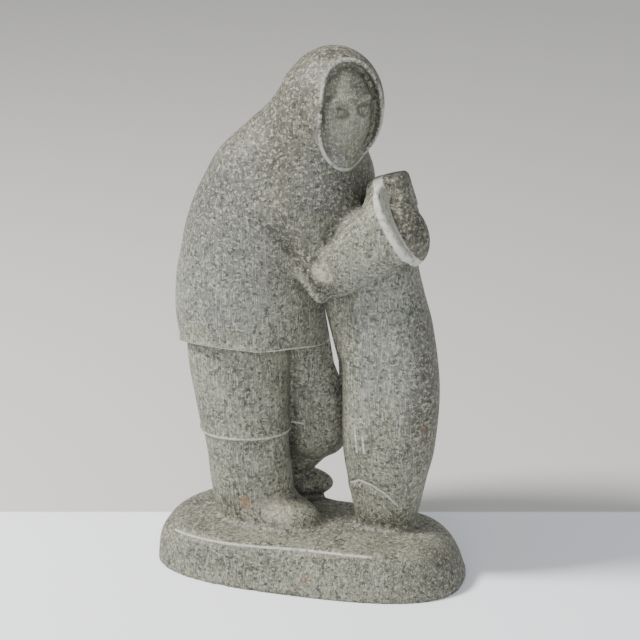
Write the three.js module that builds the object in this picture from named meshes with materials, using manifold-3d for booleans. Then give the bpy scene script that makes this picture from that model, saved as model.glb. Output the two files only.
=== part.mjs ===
// A soapstone carving: a hunter in a hooded parka stands on an oval base and holds a seal by
// its tail. Base, hunter and seal are one stone, so the object is one closed solid.
//
// The forms are distance fields: each is a function of a point that gives the distance to its
// surface, negative inside. Soft joins melt the forms into each other as a rasp would, and
// marching cubes turns the joined field into a skin, which is thinned to a light mesh.
//
// Millimetres, +Z up, the hunter walks along +X and the carver's display side faces -Y.
// The origin is on the underside, below the middle of the figure.

import Module from "manifold-3d";
import * as THREE from "three";
import { mergeVertices } from "three/addons/utils/BufferGeometryUtils.js";
import { triTable } from "three/addons/objects/MarchingCubes.js";

// Driving dimensions

const BASE_LENGTH = 180;
const BASE_DEPTH = 84;
const BASE_TOP = 26;
const HEM_HEIGHT = 127;
const SHOULDER_HEIGHT = 227;
const HEAD_HEIGHT = 270; // middle of the head
const CROWN_HEIGHT = 303;
const BODY_DEPTH = 86; // parka, across the walking direction
const LEG_DEPTH = 42;
const SEAL_HEIGHT = 200;
const RIM = 2.2; // how far the hem, cuffs, boot tops and hood rim stand proud
const FACE_TURN = -42; // degrees from +X towards the display side
const FACE_NOD = 4; // degrees below level

const CELL = 2.4; // sampling step of the skin
const TRIANGLES = 9300; // after thinning
const SETTLING_ROUNDS = 4;
const THINNING_ROUNDS = 45;
const LENGTH_COST = 2e-3; // what a long edge adds to the cost of a collapse
const SAW_ALLOWANCE = 6; // stone below the underside before it is sawn flat

const { abs, cos, exp, hypot, max, min, sin } = Math;
const { clamp, degToRad, lerp, smoothstep } = THREE.MathUtils;

const at = (x, y, z) => new THREE.Vector3(x, y, z);

// The carver's vocabulary: joins, cuts and simple forms

// Union whose inner corner is filled over a width of about soft.
function join(a, b, soft) {
  const h = max(soft - abs(a - b), 0) / soft;
  return min(a, b) - (h * h * soft) / 4;
}

// Intersection whose outer corner is rounded over a width of about soft.
function meet(a, b, soft) {
  return -join(-a, -b, soft);
}

// The first form with the second taken away.
function cut(a, b, soft) {
  return meet(a, -b, soft);
}

// A raised or sunk line: one on the line itself, fading to nothing over its half-width.
function ridge(distance, halfWidth) {
  return exp(-((distance / halfWidth) ** 2));
}

// The matrix that leads into a frame set at a place, rolled about its own Y, tipped about X
// and turned about Z, in degrees.
function into(place, [tip, roll, turn] = [0, 0, 0]) {
  const euler = new THREE.Euler(degToRad(tip), degToRad(roll), degToRad(turn), "ZXY");
  return new THREE.Matrix4().makeRotationFromEuler(euler).setPosition(place).invert();
}

// Distance to an oval, close to true near its edge. A squareness of 2 is an ellipse.
function oval(x, y, halfX, halfY, squareness = 2) {
  const reach = (abs(x / halfX) ** squareness + abs(y / halfY) ** squareness) ** (1 / squareness);
  return reach < 0.01 ? -min(halfX, halfY) : hypot(x, y) * (1 - 1 / reach);
}

// An egg or pebble.
function pebble(centre, [halfX, halfY, halfZ], turn) {
  const local = into(centre, turn);
  const q = at(0, 0, 0);
  return (p) => {
    q.copy(p).applyMatrix4(local);
    const k0 = hypot(q.x / halfX, q.y / halfY, q.z / halfZ);
    const k1 = hypot(q.x / halfX ** 2, q.y / halfY ** 2, q.z / halfZ ** 2);
    return k1 < 1e-9 ? -min(halfX, halfY, halfZ) : (k0 * (k0 - 1)) / k1;
  };
}

// A tapered limb with round ends: the nearest of the balls that swell from one end to the other.
function limb(from, to, startRadius, endRadius) {
  const axis = to.clone().sub(from);
  const length = axis.length();
  const lean = (startRadius - endRadius) / length;
  const tilt = lean / (1 - lean * lean) ** 0.5;
  axis.divideScalar(length);
  const q = at(0, 0, 0);
  return (p) => {
    q.copy(p).sub(from);
    const height = q.dot(axis);
    const away = q.addScaledVector(axis, -height).length();
    const along = clamp((height - away * tilt) / length, 0, 1);
    const rest = height - along * length;
    return hypot(away, rest) - lerp(startRadius, endRadius, along);
  };
}

// A block with rounded edges.
function block(centre, [halfX, halfY, halfZ], edge, turn) {
  const local = into(centre, turn);
  const q = at(0, 0, 0);
  return (p) => {
    q.copy(p).applyMatrix4(local);
    const x = abs(q.x) - halfX + edge;
    const y = abs(q.y) - halfY + edge;
    const z = abs(q.z) - halfZ + edge;
    return hypot(max(x, 0), max(y, 0), max(z, 0)) + min(max(x, y, z), 0) - edge;
  };
}

// A smooth curve through stations that each start with their height.
function through(stations) {
  const last = stations.length - 1;
  const slopes = stations.map((_, i) => {
    const before = stations[max(i - 1, 0)];
    const after = stations[min(i + 1, last)];
    return before.map((v, j) => (after[j] - v) / (after[0] - before[0]));
  });
  return (height) => {
    let i = 0;
    while (i < last - 1 && height > stations[i + 1][0]) i += 1;
    const [low, high] = [stations[i], stations[i + 1]];
    const step = high[0] - low[0];
    const t = clamp((height - low[0]) / step, 0, 1);
    const ease = t * t * (3 - 2 * t);
    const leave = t * (1 - t) * (1 - t) * step;
    const arrive = t * t * (1 - t) * step;
    return low.map((v, j) => {
      return v + (high[j] - v) * ease + leave * slopes[i][j] - arrive * slopes[i + 1][j];
    });
  };
}

// A trunk of oval sections, one for each station: height, centre X, Y, half-width X, Y.
function trunk(stations, { squareness = 2, edge = 6, place = at(0, 0, 0), turn } = {}) {
  const section = through(stations);
  const local = into(place, turn);
  const bottom = stations[0][0];
  const top = stations.at(-1)[0];
  const q = at(0, 0, 0);
  return (p) => {
    q.copy(p).applyMatrix4(local);
    const [, x, y, halfX, halfY] = section(q.z);
    const side = oval(q.x - x, q.y - y, halfX, halfY, squareness);
    return meet(side, max(bottom - q.z, q.z - top), edge);
  };
}

// The oval base: long and flat-sided, fuller at its back left, with a drafted side

const BASE_PLACE = at(-2.6, -1.5, 0);
const BASE_TURN = degToRad(5);
const BASE_BULGE = { x: -38, y: 10, halfX: 46, halfY: 37 };

function basePlan(x, y) {
  const [dx, dy] = [x - BASE_PLACE.x, y - BASE_PLACE.y];
  const along = dx * cos(BASE_TURN) + dy * sin(BASE_TURN);
  const across = dy * cos(BASE_TURN) - dx * sin(BASE_TURN);
  const main = oval(along, across, BASE_LENGTH / 2, BASE_DEPTH / 2, 2.7);
  const { halfX, halfY } = BASE_BULGE;
  return join(main, oval(x - BASE_BULGE.x, y - BASE_BULGE.y, halfX, halfY), 14);
}

function base(p) {
  const draft = lerp(0.1, 0.34, smoothstep(p.x, -60, 30)) * max(0, p.z - 3);
  const edge = lerp(5, 17, smoothstep(abs(p.x - BASE_PLACE.x), 45, 90));
  const ends = smoothstep(abs(p.x - BASE_PLACE.x), 60, 95);
  const top = p.z - BASE_TOP - edge / 6 + 2 * ends;
  const underside = -p.z - SAW_ALLOWANCE;
  return max(meet(basePlan(p.x, p.y) + draft, top, edge), underside);
}

// Legs and boots

const rightLeg = trunk([
  [18, -37, 2, 23, LEG_DEPTH / 2 - 2],
  [30, -38, 2, 23.5, LEG_DEPTH / 2 - 1.5],
  [47, -40.5, 2.5, 24.5, LEG_DEPTH / 2],
  [69, -43, 2.5, 25.3, LEG_DEPTH / 2 + 0.5],
  [90, -45.5, 3, 27, LEG_DEPTH / 2 + 1.5],
  [123, -48.5, 4, 29.7, LEG_DEPTH / 2 + 3],
  [150, -49, 8, 30, LEG_DEPTH / 2 + 3],
]);
const rightFoot = pebble(at(-26, -1, 28), [29, 19, 13.5], [0, 0, -8]);
const leftTrouser = limb(at(-22, 36, 132), at(-14, 35, 72), 25, 20);
const leftKnee = pebble(at(-2, 29, 86), [13, 15, 27]);
const leftShin = limb(at(-17, 37, 60), at(-36, 38, 38), 13, 12);
const leftFoot = pebble(at(-27, 37, 33.5), [23.5, 13, 8.5], [0, 0, 4]);

const RIGHT_BOOT_TOP = 79;
const LEFT_BOOT_TOP = 52;

// What a boot top adds: a proud band, and a shaft set back a little below it.
function bootTop(below) {
  const setBack = smoothstep(below, 0, 4) * (1 - smoothstep(below, 8, 45));
  return 0.4 * RIM * ridge(below, 1.8) - 0.4 * RIM * setBack;
}

function legs(p) {
  const rightTop = RIGHT_BOOT_TOP + 1.5 * sin((p.x + 60) / 22);
  const right = join(rightLeg(p), rightFoot(p), 6) - bootTop(rightTop - p.z);
  const leftTop = LEFT_BOOT_TOP - 0.12 * (p.x + 10);
  const thigh = join(leftTrouser(p), leftKnee(p), 6) - 0.5 * RIM * ridge(p.z - leftTop, 3);
  const trouser = meet(thigh, leftTop - p.z, 3);
  const left = join(join(trouser, leftShin(p), 2), leftFoot(p), 2.5);
  return join(right, left, 3);
}

// Parka

const parkaTrunk = trunk([
  [96, -43, 18, 39, BODY_DEPTH / 2 - 4],
  [124, -43.5, 18, 41.2, BODY_DEPTH / 2 - 1.5],
  [146, -44.3, 18, 44, BODY_DEPTH / 2],
  [168, -43.5, 18, 44, BODY_DEPTH / 2],
  [183, -40.5, 18, 44, BODY_DEPTH / 2 - 0.5],
  [198, -37.5, 18, 44, BODY_DEPTH / 2 - 1.5],
  [213, -33.5, 18, 43, BODY_DEPTH / 2 - 3],
  [SHOULDER_HEIGHT, -29, 17, 40.5, BODY_DEPTH / 2 - 6],
  [242, -24.5, 16, 36, BODY_DEPTH / 2 - 11],
  [257, -17.5, 15, 27.5, 26],
  [268, -11.5, 14, 21.5, 22],
  [282, -3, 14, 15, 18],
], { squareness: 2.15 });

function hemHeight(x, y) {
  const front = 9 * smoothstep(-y, -20, 25);
  const lift = 7 * smoothstep(x, -30, 6);
  return HEM_HEIGHT + front + lift - 3 * smoothstep(abs(x + 45), 5, 45);
}

function parka(p) {
  const aboveHem = p.z - hemHeight(p.x, p.y);
  return meet(parkaTrunk(p) - 0.5 * RIM * ridge(aboveHem, 2.6), -aboveHem, 2);
}

// Hood and a calm, plain face, set out in thirds: hairline, brow, foot of the nose, chin

const chest = pebble(at(2, 8, 220), [20, 22, 26]);
const HEAD = at(4.2, 14, HEAD_HEIGHT);
const hood = pebble(HEAD, [28.5, 28, CROWN_HEIGHT - HEAD_HEIGHT], [0, 7, 0]);
const FACE = { halfWidth: 17.5, halfHeight: 28 };
const faceFrame = into(HEAD, [0, FACE_NOD, FACE_TURN]);
const faceOval = pebble(at(2.5, 0, -1), [23.5, 19.8, 29.5]);
const brow = pebble(at(21, 0, 9.5), [4, 13, 2.8]);
const nose = limb(at(21, 0, 8), at(24.5, 0, -6.5), 1.8, 3.2);
const lips = pebble(at(21.5, 0, -14.5), [3.4, 7, 3.4]);
const chin = pebble(at(18.5, 0, -22), [5, 8, 5]);
const mouthLine = limb(at(25.5, -6, -14.5), at(25.5, 6, -14.5), 1.2, 1.2);
const eyeHollow = (side) => pebble(at(24.5, 7.6 * side, 4.5), [4, 5.6, 3.6]);
const eyelid = (side) => pebble(at(20.2, 7.2 * side, 3.8), [2.8, 4.2, 2.4]);
const eyeHollows = [eyeHollow(-1), eyeHollow(1)];
const eyelids = [eyelid(-1), eyelid(1)];

function face(q) {
  let form = join(faceOval(q), brow(q), 3);
  for (const hollow of eyeHollows) form = cut(form, hollow(q), 2.5);
  for (const lid of eyelids) form = join(form, lid(q), 1);
  form = join(form, nose(q), 2);
  form = join(form, lips(q), 2);
  form = join(form, chin(q), 4);
  return cut(form, mouthLine(q), 0.8);
}

const inFace = at(0, 0, 0);

function head(p) {
  const q = inFace.copy(p).applyMatrix4(faceFrame);
  const opening = oval(q.y, q.z, FACE.halfWidth, FACE.halfHeight, 2.2);
  const rim = RIM * 0.6 * ridge(opening - 1.5, 2.4) * smoothstep(q.x, 0, 10);
  const hollow = meet(opening, 12 - q.x, 3);
  return min(cut(hood(p) - rim, hollow, 3), max(face(q), opening - 2));
}

// Arms: the shoulders melt into the parka and the sleeves stand clear of it at the elbows

const ELBOW = at(8, -8, 182);
const FOREARM_RISE = [0, 53, 4];
const WRIST_RISE = [0, 60, 4];
const rightUpperArm = limb(at(-16, 3, 212), at(7, -7, 182), 24, 13);
const rightSleeve = trunk([
  [-12, 2.5, 0, 11, 10],
  [4, 2.5, 0, 14.5, 12],
  [30, 1.5, 0, 17, 14],
  [50, 0.5, 0, 20, 15],
], { squareness: 3, edge: 3, place: ELBOW, turn: FOREARM_RISE });
const rightCuff = trunk([
  [-2.5, 0, 0, 21, 15.5],
  [2, 0, 0, 22.5, 16.5],
], { squareness: 2.6, edge: 2, place: at(48, -5, 213), turn: WRIST_RISE });
const rightMitten = pebble(at(49, -2, 207), [20, 14, 15], WRIST_RISE);
const leftUpperArm = limb(at(-12, 40, 220), at(12, 43, 196), 22, 15);
const leftForearm = limb(at(12, 42, 196), at(32, 32, 206), 15, 13);
const leftShoulderFront = pebble(at(10, 28, 220), [13, 14, 22], [0, 10, 0]);
const leftMitten = pebble(at(37, 26, 208), [16, 12, 14], [0, 50, -20]);

// The crease where the flank stands over the back of the right sleeve: crisp by the elbow,
// with a steep wall on the flank and a long slope on the sleeve, gone by the shoulder.
const creaseFrame = into(at(-11.5, -24, 198), [0, -40, 0]);
const CREASE_DEPTH = 5;
const inCrease = at(0, 0, 0);

function crease(p) {
  const q = inCrease.copy(p).applyMatrix4(creaseFrame);
  const width = q.x < 0 ? 3 : 9;
  const shoulderFade = 1 - smoothstep(q.z, -8, 38);
  const elbowFade = smoothstep(q.z, -44, -35);
  const outside = 1 - smoothstep(q.y, 8, 20);
  return CREASE_DEPTH * exp(-abs(q.x) / width) * shoulderFade * elbowFade * outside;
}

function arms(p) {
  const right = join(rightUpperArm(p), rightSleeve(p), 3);
  const left = join(join(leftUpperArm(p), leftForearm(p), 4), leftShoulderFront(p), 8);
  return join(right, left, 1);
}

function hands(p) {
  return min(join(rightMitten(p), rightCuff(p), 1), leftMitten(p));
}

// Seal, head down, its tail in the hunter's hands

const seal = trunk([
  [16, 37.5, 15, 16.5, 14],
  [27, 37.5, 15, 17, 14],
  [38, 38, 14, 19, 15.5],
  [56, 38.5, 13, 22.5, 17.5],
  [75, 39.5, 12, 26, 19],
  [112, 40.5, 12, 27.3, 20],
  [148, 38, 12, 25.3, 19],
  [168, 36, 12, 21.8, 17.5],
  [183, 35, 12, 19.3, 16],
  [SEAL_HEIGHT, 38, 12, 15, 13],
  [216, 41, 10, 9, 9],
], { squareness: 2.5 });
const tail = block(at(41.5, 8, 225), [10.5, 8, 11], 3.5, [0, -18, 0]);
const web = pebble(at(16, 10, 156), [12, 10, 36], [0, -7, 0]);

// Shallow lines on the display side of the seal, as seen square on: each is a run of X, Z
// places, cut or heaped by the given amount within its half-width.
const MOUTH = [[20.3, 54], [27, 58.7], [34.7, 57], [42.8, 52.5], [48.5, 46]];
const FLIPPER = { x: 28, z: 85, halfX: 6.5, halfZ: 11, proud: 1.2 };
const FLIPPER_CUTS = [[[25, 93], [26.5, 77]], [[30, 89], [31, 77]]];

function distanceToRun(p, run) {
  let nearest = Infinity;
  for (let i = 1; i < run.length; i += 1) {
    const [[x0, z0], [x1, z1]] = [run[i - 1], run[i]];
    const [dx, dz] = [x1 - x0, z1 - z0];
    const along = clamp(((p.x - x0) * dx + (p.z - z0) * dz) / (dx * dx + dz * dz), 0, 1);
    nearest = min(nearest, hypot(p.x - x0 - along * dx, p.z - z0 - along * dz));
  }
  return nearest;
}

function sealMarks(p) {
  if (p.y > 8) return 0;
  const snout = distanceToRun({ x: p.x, z: p.z + 3 }, MOUTH);
  const mouth = 1.6 * ridge(distanceToRun(p, MOUTH), 1.6) - 0.8 * ridge(snout, 3);
  const edge = oval(p.x - FLIPPER.x, p.z - FLIPPER.z, FLIPPER.halfX, FLIPPER.halfZ, 3);
  const flipper = -FLIPPER.proud * (1 - smoothstep(edge, -1.5, 1));
  const cuts = FLIPPER_CUTS.map((run) => ridge(distanceToRun(p, run), 1.4));
  return mouth + flipper + cuts[0] + cuts[1];
}

// The whole carving

function carving(p) {
  let stone = join(base(p), legs(p), 4);
  stone = join(stone, join(seal(p) + sealMarks(p), tail(p), 4), 5);
  stone = join(stone, web(p), 4);
  const body = join(join(parka(p), chest(p), 16), head(p), 10);
  stone = join(stone, body, 1);
  const shoulderSoft = lerp(2, 14, smoothstep(p.z, 185, 215));
  stone = join(stone, arms(p), shoulderSoft);
  return join(stone + crease(p), hands(p), 1);
}
// --- skin
// The skin: marching cubes over a lattice of samples. The corners and edges of a cell are
// numbered as the addon's table numbers them.

const CORNERS = [
  [0, 0, 0], [1, 0, 0], [1, 1, 0], [0, 1, 0], [0, 0, 1], [1, 0, 1], [1, 1, 1], [0, 1, 1],
];
const EDGES = [
  [0, 1], [1, 2], [3, 2], [0, 3], [4, 5], [5, 6], [7, 6], [4, 7], [0, 4], [1, 5], [2, 6], [3, 7],
];
const TABLE_ROW = 16;

function sample(field, box, [nx, ny, nz]) {
  const values = new Float32Array(nx * ny * nz);
  const p = at(0, 0, 0);
  let n = 0;
  for (let k = 0; k < nz; k += 1) {
    for (let j = 0; j < ny; j += 1) {
      for (let i = 0; i < nx; i += 1) {
        p.set(i, j, k).multiplyScalar(CELL).add(box.min);
        values[n] = field(p) || 1e-6;
        n += 1;
      }
    }
  }
  return values;
}

function skin(field, box) {
  const counts = box.getSize(at(0, 0, 0)).divideScalar(CELL).ceil().addScalar(1).toArray();
  const [nx, ny, nz] = counts;
  const values = sample(field, box, counts);
  const offsets = CORNERS.map(([i, j, k]) => i + nx * (j + ny * k));
  const points = [];
  const faces = [];
  const made = new Map();

  function pointOn(cellIndex, i, j, k, edge) {
    const [a, b] = EDGES[edge];
    const key = (cellIndex + offsets[a]) * 3 + CORNERS[b].findIndex((v, n) => v !== CORNERS[a][n]);
    if (!made.has(key)) {
      const va = values[cellIndex + offsets[a]];
      const vb = values[cellIndex + offsets[b]];
      const start = at(...CORNERS[a]);
      const place = start.lerp(at(...CORNERS[b]), clamp(va / (va - vb), 0.02, 0.98));
      points.push(place.add(at(i, j, k)).multiplyScalar(CELL).add(box.min));
      made.set(key, points.length - 1);
    }
    return made.get(key);
  }

  for (let k = 0; k < nz - 1; k += 1) {
    for (let j = 0; j < ny - 1; j += 1) {
      for (let i = 0; i < nx - 1; i += 1) {
        const cell = i + nx * (j + ny * k);
        const pattern = offsets.reduce((sum, o, n) => sum + (values[cell + o] < 0 ? 1 << n : 0), 0);
        for (let t = pattern * TABLE_ROW; triTable[t] !== -1; t += 3) {
          const [a, b, c] = [0, 1, 2].map((n) => pointOn(cell, i, j, k, triTable[t + n]));
          faces.push([a, c, b]);
        }
      }
    }
  }
  return { points, faces };
}

// Settling evens out the slivers that marching cubes leaves: each point moves to the middle of
// its neighbours and then back onto the form.

function ontoForm(field, p) {
  const step = 0.2;
  const slope = at(0, 0, 0);
  for (const axis of ["x", "y", "z"]) {
    const ahead = p.clone();
    const behind = p.clone();
    ahead[axis] += step;
    behind[axis] -= step;
    slope[axis] = (field(ahead) - field(behind)) / (2 * step);
  }
  const steep = max(slope.lengthSq(), 0.25);
  return p.addScaledVector(slope, -clamp(field(p) / steep, -CELL / 2, CELL / 2));
}

function settle({ points, faces }, field) {
  for (let round = 0; round < SETTLING_ROUNDS; round += 1) {
    const sums = points.map(() => at(0, 0, 0));
    const counts = points.map(() => 0);
    for (const [a, b, c] of faces) {
      for (const [v, n] of [[a, b], [b, c], [c, a]]) {
        sums[v].add(points[n]);
        counts[v] += 1;
      }
    }
    points.forEach((p, v) => ontoForm(field, p.lerp(sums[v].divideScalar(counts[v]), 0.7)));
  }
  return { points, faces };
}

// Thinning: edges are collapsed, those that change the form least first. Each point keeps the
// summed squared distance to the planes of its faces, as the ten numbers of a symmetric 4 x 4.

function planeSum(a, b, c) {
  const normal = b.clone().sub(a).cross(c.clone().sub(a));
  const area = max(normal.length(), 1e-12);
  const { x, y, z } = normal.divideScalar(area);
  const w = -(x * a.x + y * a.y + z * a.z);
  return [x * x, x * y, x * z, x * w, y * y, y * z, y * w, z * z, z * w, w * w].map((v) => v * area);
}

function misfit([xx, xy, xz, xw, yy, yz, yw, zz, zw, ww], { x, y, z }) {
  const rowX = x * (xx * x + 2 * (xy * y + xz * z + xw));
  const rowY = y * (yy * y + 2 * (yz * z + yw));
  return rowX + rowY + z * (zz * z + 2 * zw) + ww;
}

function bestPoint(q, a, b) {
  const middle = a.clone().lerp(b, 0.5);
  const matrix = new THREE.Matrix3().set(q[0], q[1], q[2], q[1], q[4], q[5], q[2], q[5], q[7]);
  const size = (q[0] + q[4] + q[7]) / 3;
  if (matrix.determinant() < 1e-3 * size ** 3) return middle;
  const place = at(-q[3], -q[6], -q[8]).applyMatrix3(matrix.invert());
  return place.distanceTo(middle) < a.distanceTo(b) ? place : middle;
}

function thin({ points, faces }, target) {
  const sums = points.map(() => new Array(10).fill(0));
  const around = points.map(() => new Set());
  faces.forEach((face, f) => {
    const sum = planeSum(...face.map((v) => points[v]));
    for (const v of face) {
      around[v].add(f);
      sum.forEach((value, n) => { sums[v][n] += value; });
    }
  });
  const neighbours = (v) => new Set([...around[v]].flatMap((f) => faces[f]).filter((n) => n !== v));
  const normalOf = (a, b, c) => b.clone().sub(a).cross(c.clone().sub(a));

  // A face may not turn over or become a sliver when one of its points moves.
  function staysSound(face, moved, place) {
    const before = face.map((v) => points[v]);
    const after = face.map((v) => (v === moved ? place : points[v]));
    const newNormal = normalOf(...after);
    const [a, b, c] = after;
    const longest = max(a.distanceTo(b), b.distanceTo(c), c.distanceTo(a));
    if (newNormal.length() < 0.1 * longest ** 2) return false;
    return newNormal.normalize().dot(normalOf(...before).normalize()) > 0.55;
  }

  function mayCollapse(a, b, place) {
    const nearB = neighbours(b);
    if ([...neighbours(a)].filter((v) => nearB.has(v)).length !== 2) return false;
    for (const [here, other] of [[a, b], [b, a]]) {
      for (const f of around[here]) {
        if (!faces[f].includes(other) && !staysSound(faces[f], here, place)) return false;
      }
    }
    return true;
  }

  function collapse(a, b, place) {
    points[a].copy(place);
    sums[b].forEach((value, n) => { sums[a][n] += value; });
    let removed = 0;
    for (const f of around[b]) {
      if (faces[f].includes(a)) {
        for (const v of faces[f]) if (v !== b) around[v].delete(f);
        faces[f] = null;
        removed += 1;
      } else {
        faces[f] = faces[f].map((v) => (v === b ? a : v));
        around[a].add(f);
      }
    }
    around[b].clear();
    return removed;
  }

  let count = faces.length;
  for (let round = 0; count > target && round < THINNING_ROUNDS; round += 1) {
    const allowed = 1e-3 * 1.5 ** round;
    for (let a = 0; a < points.length && count > target; a += 1) {
      for (const b of around[a].size ? neighbours(a) : []) {
        if (b < a || !around[a].size) continue;
        const sum = sums[a].map((v, n) => v + sums[b][n]);
        const place = bestPoint(sum, points[a], points[b]);
        const cost = misfit(sum, place) + LENGTH_COST * points[a].distanceToSquared(points[b]);
        if (cost > allowed || !mayCollapse(a, b, place)) continue;
        count -= collapse(a, b, place);
        break;
      }
    }
  }
  return { points, faces: faces.filter((face) => face) };
}

function toGeometry({ points, faces }) {
  const geometry = new THREE.BufferGeometry().setFromPoints(points);
  return geometry.setIndex(faces.flat());
}

// Solids: the thinned skin is sawn flat below and slit between the parka and the seal

const wasm = await Module();
wasm.setup();

function toSolid(geometry) {
  geometry.deleteAttribute("normal");
  geometry.deleteAttribute("uv");
  const merged = mergeVertices(geometry);
  return new wasm.Manifold(new wasm.Mesh({
    numProp: 3,
    vertProperties: Float32Array.from(merged.attributes.position.array),
    triVerts: Uint32Array.from(merged.index.array),
  }));
}

function fromSolid(solid) {
  const { vertProperties, triVerts } = solid.getMesh();
  const geometry = new THREE.BufferGeometry();
  geometry.setAttribute("position", new THREE.BufferAttribute(vertProperties, 3));
  geometry.setIndex(new THREE.BufferAttribute(triVerts, 1));
  geometry.computeVertexNormals();
  return geometry;
}

// Everything below the ground plane.
function sawnAway() {
  const depth = 4 * SAW_ALLOWANCE;
  return new THREE.BoxGeometry(2 * BASE_LENGTH, 2 * BASE_LENGTH, depth).translate(0, 0, -depth / 2);
}

// The slit that parts the parka and knee from the stone under the forearm: a thin tapering
// blade that passes down and back through the stone.
const SLIT = { place: at(4.2, 15, 133), turn: [-20, -12, 20], height: 42, width: 2.8, length: 120 };

function slitBlade() {
  const half = SLIT.height / 2;
  const outline = new THREE.Shape();
  outline.moveTo(0, half);
  outline.lineTo(-SLIT.width / 2, -half * 0.6);
  outline.lineTo(0, -half);
  outline.lineTo(SLIT.width / 2, -half * 0.6);
  const blade = new THREE.ExtrudeGeometry(outline, { depth: SLIT.length, bevelEnabled: false });
  blade.rotateX(Math.PI / 2).translate(0, SLIT.length / 2, 0);
  return blade.applyMatrix4(into(SLIT.place, SLIT.turn).invert());
}

const STONE_BOX = new THREE.Box3(
  at(-110, -65, -SAW_ALLOWANCE - 2 * CELL),
  at(110, 75, CROWN_HEIGHT + 2 * CELL),
);
const roughSkin = settle(skin(carving, STONE_BOX), carving);
const stone = toSolid(toGeometry(thin(roughSkin, TRIANGLES)));
const carved = stone.subtract(toSolid(sawnAway())).subtract(toSolid(slitBlade()));

const soapstone = new THREE.MeshStandardMaterial({
  color: 0x8f8f85,
  roughness: 0.62,
  metalness: 0,
});
const hunter = new THREE.Mesh(fromSolid(carved), soapstone);
hunter.name = "hunter_carving";

const sculpture = new THREE.Group();
sculpture.add(hunter);

export default sculpture;
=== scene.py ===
# %% [markdown]
# # A soapstone hunter with a seal
#
# The real thing is one stone. A carver sawed the underside flat, roughed out a hunter in a hooded
# parka who bends over a seal and holds it by its tail, and finished it with rasps, a knife and a
# rub of fine grit. The solid model brings the true forms and sizes. Here the same forms become a
# fine skin, get their carved lines, and then get the stone's colour, grain and tool marks.

import math

import bmesh
import bpy
import numpy as np
from mathutils import Matrix, Vector


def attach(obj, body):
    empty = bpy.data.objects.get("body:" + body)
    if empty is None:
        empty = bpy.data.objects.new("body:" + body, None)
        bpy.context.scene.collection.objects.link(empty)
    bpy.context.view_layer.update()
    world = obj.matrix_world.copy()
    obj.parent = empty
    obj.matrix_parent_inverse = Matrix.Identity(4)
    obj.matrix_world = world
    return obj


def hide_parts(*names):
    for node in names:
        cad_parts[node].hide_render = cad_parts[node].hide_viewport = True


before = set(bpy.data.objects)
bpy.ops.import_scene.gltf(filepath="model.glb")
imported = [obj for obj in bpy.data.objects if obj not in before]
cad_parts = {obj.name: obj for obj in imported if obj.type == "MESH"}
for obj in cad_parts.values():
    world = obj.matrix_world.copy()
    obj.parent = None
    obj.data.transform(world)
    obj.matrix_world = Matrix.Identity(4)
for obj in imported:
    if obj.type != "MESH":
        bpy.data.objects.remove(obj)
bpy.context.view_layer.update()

# %% [markdown]
# ## Camera
#
# The carving is seen from a little above and to the right of its display side. A long lens keeps
# the upright forms parallel, as a catalogue view does.

# %% Camera
MM = 0.001
VIEW_AZIMUTH = math.radians(20)
VIEW_ELEVATION = math.radians(20)
VIEW_DISTANCE = 1200 * MM
VIEW_TARGET = Vector((-2, 12, 146)) * MM


def towards_camera(azimuth, elevation):
    level = math.cos(elevation)
    return Vector((math.sin(azimuth) * level, -math.cos(azimuth) * level, math.sin(elevation)))


def aim(thing, place, target):
    thing.location = place
    thing.rotation_euler = (target - place).to_track_quat("-Z", "Y").to_euler()


camera_data = bpy.data.cameras.new("camera")
camera_data.lens = 120
camera_data.sensor_width = 36
camera = bpy.data.objects.new("camera", camera_data)
bpy.context.scene.collection.objects.link(camera)
eye = VIEW_TARGET + towards_camera(VIEW_AZIMUTH, VIEW_ELEVATION) * VIEW_DISTANCE
aim(camera, eye, VIEW_TARGET)
bpy.context.scene.camera = camera
print("camera stands at", [round(v, 3) for v in eye])

# %% [markdown]
# ## The carver's vocabulary
#
# Each form is a function that takes points and gives their distance to its surface, negative
# inside the stone. Distances join and cut like clay: the smaller of two is their union, and a
# little blending at the corner makes the fillet that a rasp leaves. Mesh modelling by hand could
# do it too, but distances let every point of a fine mesh find the true surface.

# %% Joins and cuts, in millimetres


def join(a, b, soft):
    h = np.maximum(soft - np.abs(a - b), 0) / soft
    return np.minimum(a, b) - h * h * soft / 4


def meet(a, b, soft):
    return -join(-a, -b, soft)


def cut(a, b, soft):
    return meet(a, -b, soft)


def ridge(distance, half_width):
    return np.exp(-((distance / half_width) ** 2))


def smoothstep(v, start, end):
    t = np.clip((v - start) / (end - start), 0, 1)
    return t * t * (3 - 2 * t)


def blend(a, b, t):
    return a + (b - a) * t


# %% Frames: roll about Y, tip about X, then turn about Z, in degrees


def turned(tip=0, roll=0, turn=0):
    ct, st = math.cos(math.radians(tip)), math.sin(math.radians(tip))
    cr, sr = math.cos(math.radians(roll)), math.sin(math.radians(roll))
    cz, sz = math.cos(math.radians(turn)), math.sin(math.radians(turn))
    about_x = np.array([[1, 0, 0], [0, ct, -st], [0, st, ct]])
    about_y = np.array([[cr, 0, sr], [0, 1, 0], [-sr, 0, cr]])
    about_z = np.array([[cz, -sz, 0], [sz, cz, 0], [0, 0, 1]])
    return about_z @ about_x @ about_y


def into(p, place, turn=(0, 0, 0)):
    return (p - np.array(place, float)) @ turned(*turn)


# %% Simple forms: oval, pebble, limb, block and trunk


def oval(x, y, half_x, half_y, squareness=2):
    reach = np.abs(x / half_x) ** squareness + np.abs(y / half_y) ** squareness
    reach = np.maximum(reach ** (1 / squareness), 0.01)
    return np.hypot(x, y) * (1 - 1 / reach)


def pebble(p, centre, radii, turn=(0, 0, 0)):
    q = into(p, centre, turn)
    r = np.array(radii, float)
    k0 = np.linalg.norm(q / r, axis=1)
    k1 = np.maximum(np.linalg.norm(q / r**2, axis=1), 1e-9)
    return k0 * (k0 - 1) / k1


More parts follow.
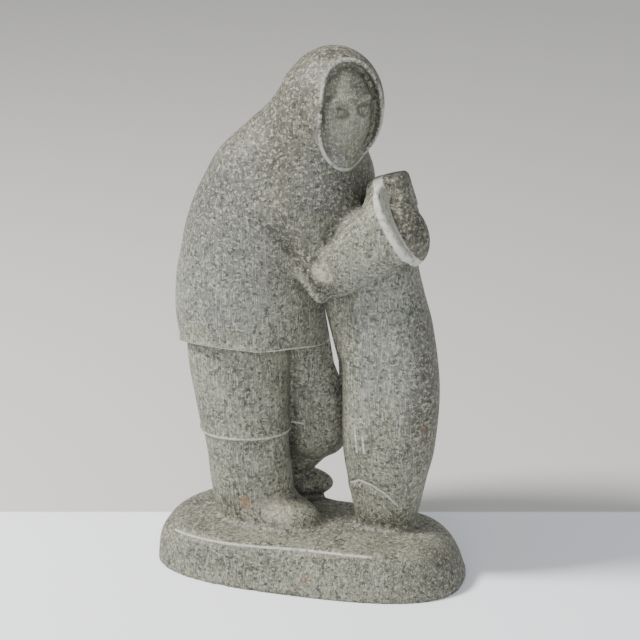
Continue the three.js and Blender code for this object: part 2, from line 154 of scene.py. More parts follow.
def limb(p, start, end, start_radius, end_radius):
    start = np.array(start, float)
    axis = np.array(end, float) - start
    length = np.linalg.norm(axis)
    axis /= length
    lean = (start_radius - end_radius) / length
    height = (p - start) @ axis
    away = np.linalg.norm(p - start - height[:, None] * axis, axis=1)
    along = np.clip((height - away * lean / math.sqrt(1 - lean * lean)) / length, 0, 1)
    return np.hypot(away, height - along * length) - blend(start_radius, end_radius, along)


def block(p, centre, half, edge, turn=(0, 0, 0)):
    q = np.abs(into(p, centre, turn)) - np.array(half, float) + edge
    return np.linalg.norm(np.maximum(q, 0), axis=1) + np.minimum(q.max(axis=1), 0) - edge


def trunk(p, stations, squareness=2, edge=6, place=(0, 0, 0), turn=(0, 0, 0)):
    rows = np.array(stations, float)
    heights = rows[:, 0]
    slopes = np.empty_like(rows)
    slopes[1:-1] = (rows[2:] - rows[:-2]) / (heights[2:] - heights[:-2])[:, None]
    slopes[0] = (rows[1] - rows[0]) / (heights[1] - heights[0])
    slopes[-1] = (rows[-1] - rows[-2]) / (heights[-1] - heights[-2])
    q = into(p, place, turn)
    i = np.clip(np.searchsorted(heights, q[:, 2]) - 1, 0, len(rows) - 2)
    step = (heights[i + 1] - heights[i])[:, None]
    t = np.clip((q[:, 2] - heights[i])[:, None] / step, 0, 1)
    section = blend(rows[i], rows[i + 1], t * t * (3 - 2 * t))
    section += t * (1 - t) ** 2 * step * slopes[i] - t * t * (1 - t) * step * slopes[i + 1]
    _, x, y, half_x, half_y = section.T
    side = oval(q[:, 0] - x, q[:, 1] - y, half_x, half_y, squareness)
    return meet(side, np.maximum(heights[0] - q[:, 2], q[:, 2] - heights[-1]), edge)


# %% [markdown]
# ## The forms of this carving
#
# The sizes are the solid model's own, in millimetres, with +Z up, the hunter leaning along +X and
# the display side facing -Y.

# %% Sizes that several forms share
BASE_LENGTH = 180
BASE_DEPTH = 84
BASE_TOP = 26
HEM_HEIGHT = 127
HEAD_HEIGHT = 270
CROWN_HEIGHT = 303
BODY_DEPTH = 86
LEG_DEPTH = 42
RIM = 2.2
RIGHT_BOOT_TOP = 79
LEFT_BOOT_TOP = 52

# %% The oval base
BASE_PLACE = (-2.6, -1.5)
BASE_TURN = math.radians(5)


def base_plan(x, y):
    dx, dy = x - BASE_PLACE[0], y - BASE_PLACE[1]
    along = dx * math.cos(BASE_TURN) + dy * math.sin(BASE_TURN)
    across = dy * math.cos(BASE_TURN) - dx * math.sin(BASE_TURN)
    main = oval(along, across, BASE_LENGTH / 2, BASE_DEPTH / 2, 2.7)
    return join(main, oval(x + 38, y - 10, 46, 37), 14)


def base_edge_width(x):
    return blend(5, 17, smoothstep(np.abs(x - BASE_PLACE[0]), 45, 90))


def base_faces(p):
    x, y, z = p.T
    from_middle = np.abs(x - BASE_PLACE[0])
    draft = blend(0.1, 0.34, smoothstep(x, -60, 30)) * np.maximum(0, z - 3)
    top = z - BASE_TOP - base_edge_width(x) / 6 + 2 * smoothstep(from_middle, 60, 95)
    return base_plan(x, y) + draft, top


def base(p):
    return meet(*base_faces(p), base_edge_width(p[:, 0]))


# %% Legs and boots
RIGHT_LEG = [
    (18, -37, 2, 23, LEG_DEPTH / 2 - 2),
    (30, -38, 2, 23.5, LEG_DEPTH / 2 - 1.5),
    (47, -40.5, 2.5, 24.5, LEG_DEPTH / 2),
    (69, -43, 2.5, 25.3, LEG_DEPTH / 2 + 0.5),
    (90, -45.5, 3, 27, LEG_DEPTH / 2 + 1.5),
    (123, -48.5, 4, 29.7, LEG_DEPTH / 2 + 3),
    (150, -49, 8, 30, LEG_DEPTH / 2 + 3),
]


def right_boot_top(p):
    return RIGHT_BOOT_TOP + 1.5 * np.sin((p[:, 0] + 60) / 22)


def left_boot_top(p):
    return LEFT_BOOT_TOP - 0.12 * (p[:, 0] + 10)


def boot_top(below):
    set_back = smoothstep(below, 0, 4) * (1 - smoothstep(below, 8, 45))
    return 0.4 * RIM * ridge(below, 1.8) - 0.4 * RIM * set_back


def right_leg(p):
    foot = pebble(p, (-26, -1, 28), (29, 19, 13.5), (0, 0, -8))
    return join(trunk(p, RIGHT_LEG), foot, 6) - boot_top(right_boot_top(p) - p[:, 2])


def left_leg(p):
    above = p[:, 2] - left_boot_top(p)
    thigh = limb(p, (-22, 36, 132), (-14, 35, 72), 25, 20)
    knee = pebble(p, (-2, 29, 86), (13, 15, 27))
    trouser = meet(join(thigh, knee, 6) - 0.5 * RIM * ridge(above, 3), -above, 3)
    shin = limb(p, (-17, 37, 60), (-36, 38, 38), 13, 12)
    foot = pebble(p, (-27, 37, 33.5), (23.5, 13, 8.5), (0, 0, 4))
    return join(join(trouser, shin, 2), foot, 2.5)


# %% Parka
PARKA = [
    (96, -43, 18, 39, BODY_DEPTH / 2 - 4),
    (124, -43.5, 18, 41.2, BODY_DEPTH / 2 - 1.5),
    (146, -44.3, 18, 44, BODY_DEPTH / 2),
    (168, -43.5, 18, 44, BODY_DEPTH / 2),
    (183, -40.5, 18, 44, BODY_DEPTH / 2 - 0.5),
    (198, -37.5, 18, 44, BODY_DEPTH / 2 - 1.5),
    (213, -33.5, 18, 43, BODY_DEPTH / 2 - 3),
    (227, -29, 17, 40.5, BODY_DEPTH / 2 - 6),
    (242, -24.5, 16, 36, BODY_DEPTH / 2 - 11),
    (257, -17.5, 15, 27.5, 26),
    (268, -11.5, 14, 21.5, 22),
    (282, -3, 14, 15, 18),
]


def above_hem(p):
    x, y, z = p.T
    front = 9 * smoothstep(-y, -20, 25)
    lift = 7 * smoothstep(x, -30, 6)
    return z - HEM_HEIGHT - front - lift + 3 * smoothstep(np.abs(x + 45), 5, 45)


def parka(p):
    above = above_hem(p)
    body = trunk(p, PARKA, squareness=2.15) - 0.5 * RIM * ridge(above, 2.6)
    return meet(body, -above, 1.2)


# %% [markdown]
# ## Hood and face
#
# The hood opens in a tall oval with a raised rim. The face inside is plain and calm, set out by
# the old rule of thirds: hairline to brow, brow to the foot of the nose, and nose to chin. It is
# modelled in a frame of its own that looks along +X.

# %% Head
HEAD = (4.2, 14, HEAD_HEIGHT)
FACE_TURN = (0, 4, -42)
OPENING = (17.5, 28)


def in_face(p):
    return into(p, HEAD, FACE_TURN)


def opening_edge(q):
    return oval(q[:, 1], q[:, 2], *OPENING, 2.2)


def face(q):
    form = pebble(q, (2.5, 0, -1), (23.5, 19.8, 29.5))
    form = join(form, pebble(q, (21, 0, 9.5), (4, 13, 2.8)), 3)
    for side in (-1, 1):
        form = cut(form, pebble(q, (24.5, 7.6 * side, 4.5), (4, 5.6, 3.6)), 2.5)
        form = join(form, pebble(q, (20.2, 7.2 * side, 3.8), (2.8, 4.2, 2.4)), 0.8)
    form = join(form, limb(q, (21, 0, 8), (24.5, 0, -6.5), 1.8, 3.2), 2)
    form = join(form, pebble(q, (21.5, 0, -14.5), (3.4, 7, 3.4)), 1.6)
    form = join(form, pebble(q, (18.5, 0, -22), (5, 8, 5)), 4)
    return cut(form, limb(q, (25.5, -6, -14.5), (25.5, 6, -14.5), 1.1, 1.1), 0.6)


def head(p):
    q = in_face(p)
    edge = opening_edge(q)
    rim = RIM * 0.6 * ridge(edge - 1.5, 2.4) * smoothstep(q[:, 0], 0, 10)
    hood = pebble(p, HEAD, (28.5, 28, CROWN_HEIGHT - HEAD_HEIGHT), (0, 7, 0))
    hollow = meet(edge, 12 - q[:, 0], 3)
    return np.minimum(cut(hood - rim, hollow, 2), np.maximum(face(q), edge - 2))


# %% Arms and hands
ELBOW = (8, -8, 182)
FOREARM_RISE = (0, 53, 4)
WRIST_RISE = (0, 60, 4)
SLEEVE = [(-12, 2.5, 0, 11, 10), (4, 2.5, 0, 14.5, 12), (30, 1.5, 0, 17, 14), (50, 0.5, 0, 20, 15)]
CUFF = [(-2.5, 0, 0, 21, 15.5), (2, 0, 0, 22.5, 16.5)]
CUFF_PLACE = (48, -5, 213)


def arms(p):
    upper = limb(p, (-16, 3, 212), (7, -7, 182), 24, 13)
    sleeve = trunk(p, SLEEVE, squareness=3, edge=3, place=ELBOW, turn=FOREARM_RISE)
    left_upper = limb(p, (-12, 40, 220), (12, 43, 196), 22, 15)
    left_forearm = limb(p, (12, 42, 196), (32, 32, 206), 15, 13)
    left_shoulder = pebble(p, (10, 28, 220), (13, 14, 22), (0, 10, 0))
    left = join(join(left_upper, left_forearm, 4), left_shoulder, 8)
    return join(join(upper, sleeve, 3), left, 1)


def hands(p):
    right = pebble(p, (49, -2, 207), (20, 14, 15), WRIST_RISE)
    cuff = trunk(p, CUFF, squareness=2.6, edge=2, place=CUFF_PLACE, turn=WRIST_RISE)
    left = pebble(p, (37, 26, 208), (16, 12, 14), (0, 50, -20))
    return np.minimum(join(right, cuff, 1), left)


CREASE_PLACE = (-11.5, -24, 198)


def crease(p):
    q = into(p, CREASE_PLACE, (0, -40, 0))
    width = np.where(q[:, 0] < 0, 2.2, 9)
    shoulder_fade = 1 - smoothstep(q[:, 2], -8, 38)
    elbow_fade = smoothstep(q[:, 2], -44, -35)
    outside = 1 - smoothstep(q[:, 1], 8, 20)
    return 5 * np.exp(-np.abs(q[:, 0]) / width) * shoulder_fade * elbow_fade * outside


# %% Seal
SEAL = [
    (16, 37.5, 15, 16.5, 14),
    (27, 37.5, 15, 17, 14),
    (38, 38, 14, 19, 15.5),
    (56, 38.5, 13, 22.5, 17.5),
    (75, 39.5, 12, 26, 19),
    (112, 40.5, 12, 27.3, 20),
    (148, 38, 12, 25.3, 19),
    (168, 36, 12, 21.8, 17.5),
    (183, 35, 12, 19.3, 16),
    (200, 38, 12, 15, 13),
    (216, 41, 10, 9, 9),
]
MOUTH = [(20.3, 54), (27, 58.7), (34.7, 57), (42.8, 52.5), (48.5, 46)]
FLIPPER_CUTS = [[(25, 93), (26.5, 77)], [(30, 89), (31, 77)]]


def distance_to_run(x, z, run):
    nearest = np.full(len(x), np.inf)
    for (x0, z0), (x1, z1) in zip(run, run[1:]):
        dx, dz = x1 - x0, z1 - z0
        along = np.clip(((x - x0) * dx + (z - z0) * dz) / (dx * dx + dz * dz), 0, 1)
        nearest = np.minimum(nearest, np.hypot(x - x0 - along * dx, z - z0 - along * dz))
    return nearest


def seal_marks(p):
    x, y, z = p.T
    mouth = 1.3 * ridge(distance_to_run(x, z, MOUTH), 1.2)
    mouth -= 0.8 * ridge(distance_to_run(x, z + 3, MOUTH), 3)
    flipper = -1.2 * (1 - smoothstep(oval(x - 28, z - 85, 6.5, 11, 3), -1.5, 1))
    cuts = sum(ridge(distance_to_run(x, z, run), 1.0) for run in FLIPPER_CUTS)
    return np.where(y < 8, mouth + flipper + cuts, 0)


def seal(p):
    tail = block(p, (41.5, 8, 225), (10.5, 8, 11), 3.5, (0, -18, 0))
    return join(trunk(p, SEAL, squareness=2.5) + seal_marks(p), tail, 4)


# %% The whole carving


def unslit(p):
    legs = join(right_leg(p), left_leg(p), 3)
    stone = join(base(p), legs, 4)
    stone = join(stone, seal(p), 5)
    stone = join(stone, pebble(p, (16, 10, 156), (12, 10, 36), (0, -7, 0)), 4)
    chest = pebble(p, (2, 8, 220), (20, 22, 26))
    body = join(join(parka(p), chest, 16), head(p), 10)
    stone = join(stone, body, 1)
    stone = join(stone, arms(p), blend(2, 14, smoothstep(p[:, 2], 185, 215)))
    return join(stone + crease(p), hands(p), 1)


print("distance at the middle of the seal:", round(float(unslit(np.array([[40.0, 12, 112]]))[0]), 1))

# %% [markdown]
# ## A fine skin for the stone
#
# The solid is coarse so that it computes well. A Remesh modifier rebuilds a merged copy of it as
# an even net of small quads, and each point then slides onto the true form. Sculpting by hand
# would give the same surface, but here the net can be remade at any time. The slit is narrower
# than the net can follow, so it is plugged first and sawn again at the end.

# %% Slide points onto a form
VOXEL = 1.5 * MM
SLOPE_STEP = 0.15


def slope(form, p):
    parts = []
    for axis in range(3):
        offset = np.zeros(3)
        offset[axis] = SLOPE_STEP
        parts.append((form(p + offset) - form(p - offset)) / (2 * SLOPE_STEP))
    return np.stack(parts, axis=1)


def onto_form(form, p, rounds=2, reach=1.2):
    for _ in range(rounds):
        g = slope(form, p)
        steep = np.maximum((g * g).sum(axis=1), 0.25)
        p = p - g * np.clip(form(p) / steep, -reach, reach)[:, None]
    p[:, 2] = np.maximum(p[:, 2], 0)
    return p


def points_of(mesh):
    flat = np.empty(len(mesh.vertices) * 3)
    mesh.vertices.foreach_get("co", flat)
    return flat.reshape(-1, 3) / MM


def set_points(mesh, p):
    mesh.vertices.foreach_set("co", (p * MM).ravel())
    mesh.update()


# %% Plug the slit
SLIT_PLACE = (4.2, 15, 133)
SLIT_TURN = (-20, -12, 20)
BLADE_HALF_HEIGHT = 21
BLADE_HALF_WIDTH = 1.4
BLADE_LENGTH = 120


def slit_frame():
    turn = Matrix(turned(*SLIT_TURN).tolist()).to_4x4()
    return Matrix.Translation(Vector(SLIT_PLACE) * MM) @ turn


def whole_stone(p):
    return np.maximum(unslit(p), -p[:, 2])


def buried(p):
    return whole_stone(p) + 0.8


def plug_mesh():
    plug = bmesh.new()
    bmesh.ops.create_cube(plug, size=1)
    bmesh.ops.subdivide_edges(plug, edges=plug.edges[:], cuts=24, use_grid_fill=True)
    bmesh.ops.scale(plug, vec=Vector((5, 110, 46)) * MM, verts=plug.verts)
    bmesh.ops.transform(plug, matrix=slit_frame(), verts=plug.verts)
    mesh = bpy.data.meshes.new("slit_plug")
    plug.to_mesh(mesh)
    plug.free()
    turn = turned(*SLIT_TURN)
    q = into(points_of(mesh), SLIT_PLACE, SLIT_TURN)
    reached = np.zeros(len(q))
    still_inside = np.ones(len(q), bool)
    for travel in np.arange(0, 55, 0.5):
        here = np.stack([q[:, 0], np.sign(q[:, 1]) * travel, q[:, 2]], axis=1)
        still_inside &= (buried(here @ turn.T + np.array(SLIT_PLACE)) < 0) & (travel <= abs(q[:, 1]))
        reached[still_inside] = travel
    q[:, 1] = np.sign(q[:, 1]) * reached
    set_points(mesh, q @ turn.T + np.array(SLIT_PLACE))
    return mesh


# %% Remesh and settle
cad = bpy.data.objects["hunter_carving"]
stone = bpy.data.objects.new("carved_stone", cad.data.copy())
bpy.context.scene.collection.objects.link(stone)
bm = bmesh.new()
bm.from_mesh(stone.data)
bmesh.ops.remove_doubles(bm, verts=bm.verts, dist=0.01 * MM)
bm.from_mesh(plug_mesh())
bm.to_mesh(stone.data)
bm.free()

even = stone.modifiers.new("even net", "REMESH")
even.mode = "VOXEL"
even.voxel_size = VOXEL


def bake_modifiers(thing):
    depsgraph = bpy.context.evaluated_depsgraph_get()
    mesh = bpy.data.meshes.new_from_object(thing.evaluated_get(depsgraph))
    thing.modifiers.clear()
    thing.data = mesh


bake_modifiers(stone)
set_points(stone.data, onto_form(whole_stone, points_of(stone.data)))
print("points in the even net:", len(stone.data.vertices))

# %% [markdown]
# ## More points where the knife worked
#
# The face, the hood rim, the hem, the boot tops, the cuff and the seal's mouth and flipper are
# finer than the net. Their edges are subdivided once, and the new points settle onto the form.

# %% Distance to the carved lines, and to the base's front edge, whose pale line is a painted highlight


def carved_lines_and_lit_edge(p):
    x, y, z = p.T
    far = 99.0
    hem = np.where(x < 12, np.abs(above_hem(p)), far)
    right_boot = np.where((x < -12) & (y < 25), np.abs(z - right_boot_top(p)), far)
    left_boot = np.where((x < 5) & (y > 25), np.abs(z - left_boot_top(p)), far)
    q = in_face(p)
    rim = np.where(q[:, 0] > 6, np.abs(opening_edge(q) - 1.5) - 0.3, far)
    c = into(p, CUFF_PLACE, WRIST_RISE)
    off_axis = np.hypot(c[:, 0], c[:, 1])
    cuff = np.where((off_axis < 30) & (y < 14), np.abs(c[:, 2]) - 2.2, far)
    runs = [distance_to_run(x, z, run) for run in [MOUTH, *FLIPPER_CUTS]]
    marks = np.where(y < 8, np.minimum.reduce(runs), far)
    # On the display side, the pale line along the base's front edge is a painted highlight where the edge
    # catches the key light. It is not a carved line.
    side, top = base_faces(p)
    front_edge = (np.maximum(side, top) > -3.5) & (y < -5) & (x > -75) & (x < 45)
    painted_edge_highlight = np.where(front_edge, np.abs(side - top) * 0.7, far)
    return np.minimum.reduce([hem, right_boot, left_boot, rim, cuff, marks, painted_edge_highlight])


# %% Subdivide there and settle again
bm = bmesh.new()
bm.from_mesh(stone.data)
p = points_of(stone.data)
wanted = (carved_lines_and_lit_edge(p) < 2.0) | ((opening_edge(in_face(p)) < 1) & (in_face(p)[:, 0] > 8))
edges = [edge for edge in bm.edges if wanted[edge.verts[0].index] and wanted[edge.verts[1].index]]
bmesh.ops.subdivide_edges(bm, edges=edges, cuts=1, use_grid_fill=True)
bmesh.ops.triangulate(bm, faces=[face for face in bm.faces if len(face.verts) > 4])
bm.to_mesh(stone.data)
bm.free()
set_points(stone.data, onto_form(whole_stone, points_of(stone.data)))
print("points with the carved lines:", len(stone.data.vertices))

# %% [markdown]
# ## The slit
#
# A thin blade was pushed through the stone between the parka and the seal. Pressing a groove into
# the skin wouldn't open it, so a Boolean saws it through, as the carver did.

# %% Saw the slit
blade = bpy.data.objects.new("slit_blade", bpy.data.meshes.new("slit_blade"))
bpy.context.scene.collection.objects.link(blade)
bm = bmesh.new()
bmesh.ops.create_circle(bm, cap_ends=True, segments=4, radius=1)
for vert in bm.verts:
    wide = abs(vert.co.x) > 0.5
    height = BLADE_HALF_HEIGHT * (-0.6 if wide else vert.co.y)
    across = BLADE_HALF_WIDTH * vert.co.x if wide else 0
    vert.co = Vector((across, -BLADE_LENGTH / 2, height)) * MM
grown = bmesh.ops.extrude_face_region(bm, geom=bm.faces[:])["geom"]
moved = [item for item in grown if isinstance(item, bmesh.types.BMVert)]
bmesh.ops.translate(bm, vec=Vector((0, BLADE_LENGTH * MM, 0)), verts=moved)
bmesh.ops.transform(bm, matrix=slit_frame(), verts=bm.verts)
bmesh.ops.recalc_face_normals(bm, faces=bm.faces)
bm.to_mesh(blade.data)
bm.free()

saw = stone.modifiers.new("saw", "BOOLEAN")
saw.operation = "DIFFERENCE"
saw.solver = "EXACT"
saw.object = blade
bake_modifiers(stone)
bpy.data.objects.remove(blade)
for polygon in stone.data.polygons:
    polygon.use_smooth = True
triangles = sum(len(polygon.vertices) - 2 for polygon in stone.data.polygons)
print("triangles in the fine stone:", triangles)

# %% [markdown]
# ## Where the stone is worn and stained, and where shade and highlights are painted
#
# Wear and painted shade follow the shape. Just outside a hollow the stone is close on several sides,
# and there the colour is darkened as painted shade; just inside an edge the air is close, and there
# hands have rubbed it pale. A few more dark patches are painted shade on sides and creases turned from
# the key light, and a few pale spots and the base's front edge are painted highlights. Each effect is
# kept as an attribute on the points, which the material reads.

# %% Painted shade in hollows, worn edges, patina, stains and painted highlights
p = points_of(stone.data)
normals = np.empty(len(p) * 3)
stone.data.vertices.foreach_get("normal", normals)
normals = normals.reshape(-1, 3)
HOLLOW_REACH = 4.0
EDGE_REACH = 2.5


def spot(centre, radius):
    away = np.linalg.norm(p - np.array(centre, float), axis=1)
    return 1 - smoothstep(away, radius * 0.45, radius)


x, y, z = p.T
# hollow measures how concave each place is; the material darkens the colour there as painted shade.
hollow = np.clip(1 - unslit(p + normals * HOLLOW_REACH) / HOLLOW_REACH, 0, 1)
# The slit's inner faces get full painted shade.
hollow = np.maximum(hollow, smoothstep(-unslit(p), 0.8, 3))
edge_wear = np.clip(1 + unslit(p - normals * EDGE_REACH) / EDGE_REACH, 0, 1)
mitten = 1 - smoothstep(pebble(p, (49, -2, 207), (20, 14, 15), WRIST_RISE), 0.3, 1.5)
# The seal's right flank, turned away from the key light, is darkened as painted shade.
seal_shaded_side = smoothstep(x, 52, 66) * smoothstep(z, 60, 90) * (1 - smoothstep(z, 170, 185))
tail_top = smoothstep(z, 226, 236) * smoothstep(x, 26, 32) * (1 - smoothstep(y, 16, 22))
base_ends = 0.6 * smoothstep(np.abs(x + 2), 58, 88) * (1 - smoothstep(z, 26, 34))
# Dark patina on the mitten, the tail top, the base's ends and the crown, together with painted shade on
# the seal's right flank, in the notch and in the crease.
patina_and_painted_shade = np.maximum.reduce([
    0.9 * mitten, 0.85 * seal_shaded_side, 0.8 * tail_top, base_ends,
    # The spot at (22, -22, 222) is painted shade in the notch between chest and forearm; the crease is
    # part patina, part painted shade.
    np.clip(crease(p) / 2.5, 0, 0.95), 0.9 * spot((22, -22, 222), 9), 0.4 * spot((-9, 4, 292), 12),
])
weathered = smoothstep(z, 150, 235) * (1 - smoothstep(x, 12, 30))
weathered = np.maximum(0.7 * weathered, 0.85 * smoothstep(z, 225, 262) * (in_face(p)[:, 0] < 14))
patina_and_painted_shade = np.maximum(patina_and_painted_shade, weathered)
in_opening = (opening_edge(in_face(p)) < 0) & (in_face(p)[:, 0] > 8)
hollow = np.where(in_opening, 0.35 * hollow, hollow)
patina_and_painted_shade = np.where(in_opening, 0, patina_and_painted_shade)
flank = smoothstep(-x, 12, 34) * smoothstep(z, 140, 160) * (1 - smoothstep(z, 235, 255))
seal_front = smoothstep(x, 20, 30) * smoothstep(z, 95, 125) * (1 - smoothstep(z, 175, 200))
polish = np.maximum.reduce([flank, 0.8 * seal_front, spot((8, -8, 232), 24)])
iron = np.maximum.reduce([
    spot((43, -42, 14), 6), 0.7 * spot((8, -43, 11), 4), 0.6 * spot((60, 2, 94), 6),
    0.6 * spot((-37, -17, 41), 5), 0.2 * spot((-5, -25, 200), 9), 0.5 * spot((-8, -22, 245), 5),
])
# Painted highlights: pale spots on the elbow and on the right foot, where the key light catches them.
painted_highlight = np.maximum(spot((9.6, -20, 184), 9), 0.5 * spot((-18, -12, 36), 12))
marks = {
    "carved_line_and_lit_edge": carved_lines_and_lit_edge(p), "hollow": hollow, "edge_wear": edge_wear, "patina_and_painted_shade": patina_and_painted_shade,
    "polish": polish, "iron": iron, "painted_highlight": painted_highlight,
    "plain_face": 0.65 * in_opening.astype(float),
}
for name, values in marks.items():
    attribute = stone.data.attributes.new(name, "FLOAT", "POINT")
    attribute.data.foreach_set("value", np.ascontiguousarray(values, dtype=np.float32))
print("mean of each mark:", {name: round(float(v.mean()), 2) for name, v in marks.items()})

# %% [markdown]
# ## Soapstone
#
# Soapstone is soft and waxy: a greenish grey ground with cloudy patches, black specks, creamy
# flecks, and the fine pale scratches of a rasp. The patterns are worked out in millimetres on
# Object coordinates, so they run through the stone as in the real block. Two node groups hold
# what repeats, the grain and the scratches, and the material mixes them with the wear marks,
# the painted shade and the painted highlights.

# %% Small helpers for nodes


def add(tree, kind, **settings):
    made = tree.nodes.new(kind)
    for name, value in settings.items():
        setattr(made, name, value)
    return made


def feed(tree, socket, value):
    if isinstance(value, bpy.types.NodeSocket):
        tree.links.new(value, socket)
    else:
        socket.default_value = value


def noise_value(tree, vector, scale, detail=3.0, rough=0.5):
    made = add(tree, "ShaderNodeTexNoise")
    feed(tree, made.inputs["Vector"], vector)
    feed(tree, made.inputs["Scale"], scale)
    feed(tree, made.inputs["Detail"], detail)
    feed(tree, made.inputs["Roughness"], rough)
    return made.outputs["Fac"]


def step_value(tree, value, start, end):
    made = add(tree, "ShaderNodeMapRange", interpolation_type="SMOOTHSTEP")
    for name, given in (("Value", value), ("From Min", start), ("From Max", end)):
        feed(tree, made.inputs[name], given)
    return made.outputs["Result"]


def combine(tree, operation, a, b):
    made = add(tree, "ShaderNodeMath", operation=operation)
    feed(tree, made.inputs[0], a)
    feed(tree, made.inputs[1], b)
    return made.outputs[0]


def tint(tree, mask, below, colour):
    made = add(tree, "ShaderNodeMix", data_type="RGBA")
    feed(tree, made.inputs[0], mask)
    feed(tree, made.inputs[6], below)
    feed(tree, made.inputs[7], colour)
    return made.outputs[2]


def placed(tree, vector, scale, turn=(0, 0, 0)):
    made = add(tree, "ShaderNodeMapping")
    feed(tree, made.inputs["Vector"], vector)
    made.inputs["Scale"].default_value = scale
    made.inputs["Rotation"].default_value = [math.radians(v) for v in turn]
    return made.outputs["Vector"]


# %% Group: grain of the stone
grain = bpy.data.node_groups.new("stone grain", "ShaderNodeTree")
grain.interface.new_socket("Vector", in_out="INPUT", socket_type="NodeSocketVector")
for name in ("Clouds", "Mottle", "Specks", "Flecks", "Fine"):
    grain.interface.new_socket(name, in_out="OUTPUT", socket_type="NodeSocketFloat")
where = add(grain, "NodeGroupInput").outputs["Vector"]
out = add(grain, "NodeGroupOutput")
feed(grain, out.inputs["Clouds"], step_value(grain, noise_value(grain, where, 0.06, 5), 0.3, 0.7))
mottle = noise_value(grain, where, 0.28, 6, 0.72)
feed(grain, out.inputs["Mottle"], step_value(grain, mottle, 0.36, 0.64))
specks = noise_value(grain, where, 0.48, 3, 0.65)
feed(grain, out.inputs["Specks"], step_value(grain, specks, 0.53, 0.62))
shifted = placed(grain, where, (1, 1, 1.3), (31, 12, 57))
feed(grain, out.inputs["Flecks"], step_value(grain, noise_value(grain, shifted, 0.5, 3, 0.65), 0.54, 0.62))
feed(grain, out.inputs["Fine"], noise_value(grain, where, 1.8, 4, 0.6))

# %% Group: rasp scratches
scratches = bpy.data.node_groups.new("rasp scratches", "ShaderNodeTree")
scratches.interface.new_socket("Vector", in_out="INPUT", socket_type="NodeSocketVector")
scratches.interface.new_socket("Scratches", in_out="OUTPUT", socket_type="NodeSocketFloat")
where = add(scratches, "NodeGroupInput").outputs["Vector"]
strokes = None
for turn in ((20, 35, 10), (-40, -25, 70), (75, 10, -30)):
    long_way = placed(scratches, where, (1.5, 1.5, 0.11), turn)
    one_way = step_value(scratches, noise_value(scratches, long_way, 1.0, 1), 0.62, 0.68)
    strokes = one_way if strokes is None else combine(scratches, "MAXIMUM", strokes, one_way)
feed(scratches, add(scratches, "NodeGroupOutput").inputs["Scratches"], strokes)

# %% The soapstone material
soapstone = bpy.data.materials.new("soapstone")
soapstone.use_nodes = True
tree = soapstone.node_tree
shader = tree.nodes["Principled BSDF"]
object_place = add(tree, "ShaderNodeTexCoord").outputs["Object"]
in_mm = placed(tree, object_place, (1000, 1000, 1000))
grain_here = add(tree, "ShaderNodeGroup", node_tree=grain)
feed(tree, grain_here.inputs["Vector"], in_mm)
scratch_here = add(tree, "ShaderNodeGroup", node_tree=scratches)
feed(tree, scratch_here.inputs["Vector"], in_mm)
rasped = scratch_here.outputs["Scratches"]
broken = noise_value(tree, in_mm, 0.35, 4, 0.65)


def mark(name):
    return add(tree, "ShaderNodeAttribute", attribute_name=name).outputs["Fac"]


def patchy(name, strength, start=0.35, end=0.75):
    mixed = combine(tree, "MULTIPLY", mark(name), step_value(tree, broken, start, end))
    return combine(tree, "MULTIPLY", mixed, strength)


line = combine(tree, "SUBTRACT", 1.0, step_value(tree, mark("carved_line_and_lit_edge"), 0.2, 1.0))
line = combine(tree, "MULTIPLY", line, step_value(tree, broken, 0.28, 0.5))
colour = tint(tree, grain_here.outputs["Clouds"], (0.085, 0.085, 0.062, 1), (0.22, 0.217, 0.168, 1))
amount = combine(tree, "MULTIPLY", grain_here.outputs["Mottle"], 0.65)
colour = tint(tree, amount, colour, (0.31, 0.31, 0.248, 1))
colour = tint(tree, combine(tree, "MULTIPLY", mark("polish"), 0.45), colour, (0.2, 0.22, 0.225, 1))
colour = tint(tree, patchy("edge_wear", 0.7, 0.3, 0.65), colour, (0.46, 0.46, 0.4, 1))
colour = tint(tree, combine(tree, "MULTIPLY", rasped, 0.45), colour, (0.56, 0.56, 0.51, 1))
# Painted shade in the hollows and in the slit.
colour = tint(tree, patchy("hollow", 0.8, 0.1, 0.5), colour, (0.07, 0.065, 0.05, 1))
# Dark patina, and painted shade on the seal's right flank, in the notch and in the crease.
colour = tint(tree, patchy("patina_and_painted_shade", 0.85, 0.3, 0.6), colour, (0.07, 0.06, 0.045, 1))
quiet = combine(tree, "SUBTRACT", 1.0, mark("plain_face"))
specks_seen = combine(tree, "MULTIPLY", grain_here.outputs["Specks"], quiet)
colour = tint(tree, combine(tree, "MULTIPLY", specks_seen, 0.72), colour, (0.035, 0.034, 0.025, 1))
amount = combine(tree, "MULTIPLY", grain_here.outputs["Flecks"], 0.62)
colour = tint(tree, amount, colour, (0.5, 0.485, 0.375, 1))
colour = tint(tree, patchy("iron", 0.85, 0.3, 0.5), colour, (0.3, 0.13, 0.04, 1))
# Painted highlights on the elbow and the right foot.
colour = tint(tree, patchy("painted_highlight", 0.7, 0.3, 0.6), colour, (0.58, 0.53, 0.42, 1))
# Pale carved lines, and the painted highlight along the base's front edge.
colour = tint(tree, combine(tree, "MULTIPLY", line, 0.8), colour, (0.6, 0.59, 0.53, 1))
deepen = add(tree, "ShaderNodeGamma")
feed(tree, deepen.inputs["Color"], colour)
deepen.inputs["Gamma"].default_value = 1.25
feed(tree, shader.inputs["Base Color"], deepen.outputs["Color"])
rough = combine(tree, "MULTIPLY_ADD", grain_here.outputs["Fine"], 0.25)
rough.node.inputs[2].default_value = 0.42
rough = combine(tree, "SUBTRACT", rough, combine(tree, "MULTIPLY", mark("polish"), 0.12))
feed(tree, shader.inputs["Roughness"], rough)
relief = combine(tree, "SUBTRACT", grain_here.outputs["Fine"], combine(tree, "MULTIPLY", rasped, 0.5))
bump = add(tree, "ShaderNodeBump")
bump.inputs["Strength"].default_value = 0.7
bump.inputs["Distance"].default_value = 0.25 * MM
feed(tree, bump.inputs["Height"], relief)
feed(tree, shader.inputs["Normal"], bump.outputs["Normal"])
stone.data.materials.clear()
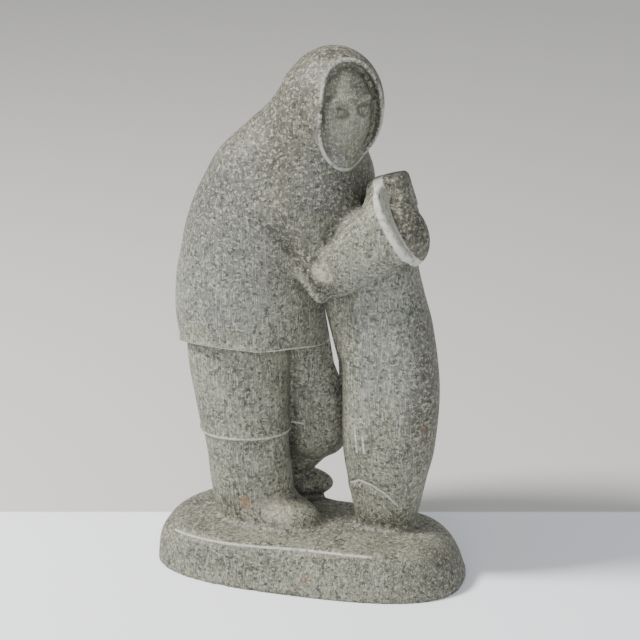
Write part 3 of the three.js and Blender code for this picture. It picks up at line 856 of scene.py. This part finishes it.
stone.data.materials.append(soapstone)
print("soapstone nodes:", len(tree.nodes))

# %% [markdown]
# ## Table and light
#
# A pale table top with a grey ground behind it keeps the stone readable. One soft key light from
# the left models the forms, and a wide fill from the front opens the shadows.

# %% Floor
floor = bpy.data.objects.new("table", bpy.data.meshes.new("table"))
bpy.context.scene.collection.objects.link(floor)
bm = bmesh.new()
bmesh.ops.create_grid(bm, x_segments=1, y_segments=1, size=6)
bm.to_mesh(floor.data)
bm.free()
floor_paint = bpy.data.materials.new("table and ground")
floor_paint.use_nodes = True
tree_f = floor_paint.node_tree
over = placed(tree_f, add(tree_f, "ShaderNodeTexCoord").outputs["Object"], (1, 1, 1), (0, 0, -20))
split = add(tree_f, "ShaderNodeSeparateXYZ")
feed(tree_f, split.inputs[0], over)
behind = step_value(tree_f, split.outputs["Y"], 0.069, 0.071)
paint = tint(tree_f, behind, (0.9, 0.92, 0.96, 1), (0.56, 0.55, 0.515, 1))
feed(tree_f, tree_f.nodes["Principled BSDF"].inputs["Base Color"], paint)
tree_f.nodes["Principled BSDF"].inputs["Roughness"].default_value = 0.7
floor.data.materials.append(floor_paint)

# %% Lights


def area_light(name, place, size, power, colour):
    data = bpy.data.lights.new(name, "AREA")
    data.shape = "DISK"
    data.size = size
    data.energy = power
    data.color = colour
    lamp = bpy.data.objects.new(name, data)
    bpy.context.scene.collection.objects.link(lamp)
    aim(lamp, Vector(place), VIEW_TARGET)


area_light("key", (-0.8, -0.42, 1.2), 0.3, 40, (1, 0.985, 0.96))
area_light("fill", (0.5, -1.5, 0.7), 1.2, 7, (0.95, 0.98, 1))
world = bpy.data.worlds.new("studio")
bpy.context.scene.world = world
world.use_nodes = True
world.node_tree.nodes["Background"].inputs["Color"].default_value = (0.95, 0.97, 1, 1)
world.node_tree.nodes["Background"].inputs["Strength"].default_value = 0.62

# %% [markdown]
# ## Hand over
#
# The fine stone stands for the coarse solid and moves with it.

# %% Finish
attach(stone, "root")
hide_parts("hunter_carving")
